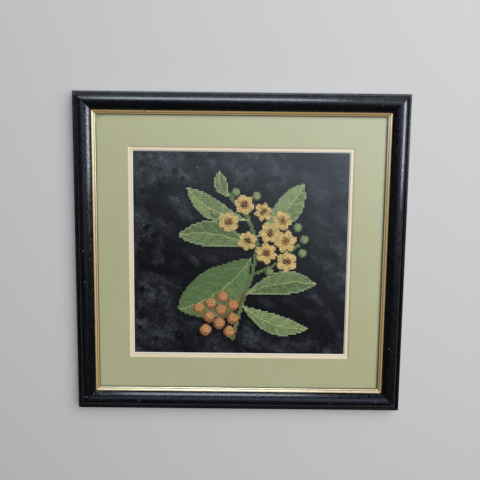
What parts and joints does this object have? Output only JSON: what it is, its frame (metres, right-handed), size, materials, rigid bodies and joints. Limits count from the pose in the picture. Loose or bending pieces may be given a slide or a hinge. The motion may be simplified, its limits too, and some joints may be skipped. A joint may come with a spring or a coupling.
{
  "type": "framed tapestry: embroidered cloth in a picture frame",
  "caption": "Embroidered cloth behind glass in two bevelled mounts, inside a rounded black moulding with a beaded gilt slip, lying face up.",
  "frame": {"origin": "middle of the frame's back, on the surface that it lies on", "axes": "+Z out of the picture's face, +Y towards the picture's top, +X to the picture's right"},
  "size_m": [0.4, 0.388, 0.0207],
  "materials": {
    "black_lacquer": "satin black lacquer over timber",
    "gilt": "gilded timber, satin, rubbed along the edges",
    "picture_glass": "clear float glass",
    "green_board": "matt sage green paper on white board",
    "cream_board": "matt cream paper on white board",
    "black_cloth": "woven black cloth with cross stitch in green and gold thread",
    "brown_board": "plain brown hardboard"
  },
  "bodies": {
    "root": {"rail_top": "black_lacquer", "rail_bottom": "black_lacquer", "rail_left": "black_lacquer", "rail_right": "black_lacquer", "slip_top": "gilt", "slip_bottom": "gilt", "slip_left": "gilt", "slip_right": "gilt", "glass_pane": "picture_glass", "mat_outer": "green_board", "mat_inner": "cream_board", "embroidered_cloth": "black_cloth", "backing_board": "brown_board"}
  },
  "joints": []
}
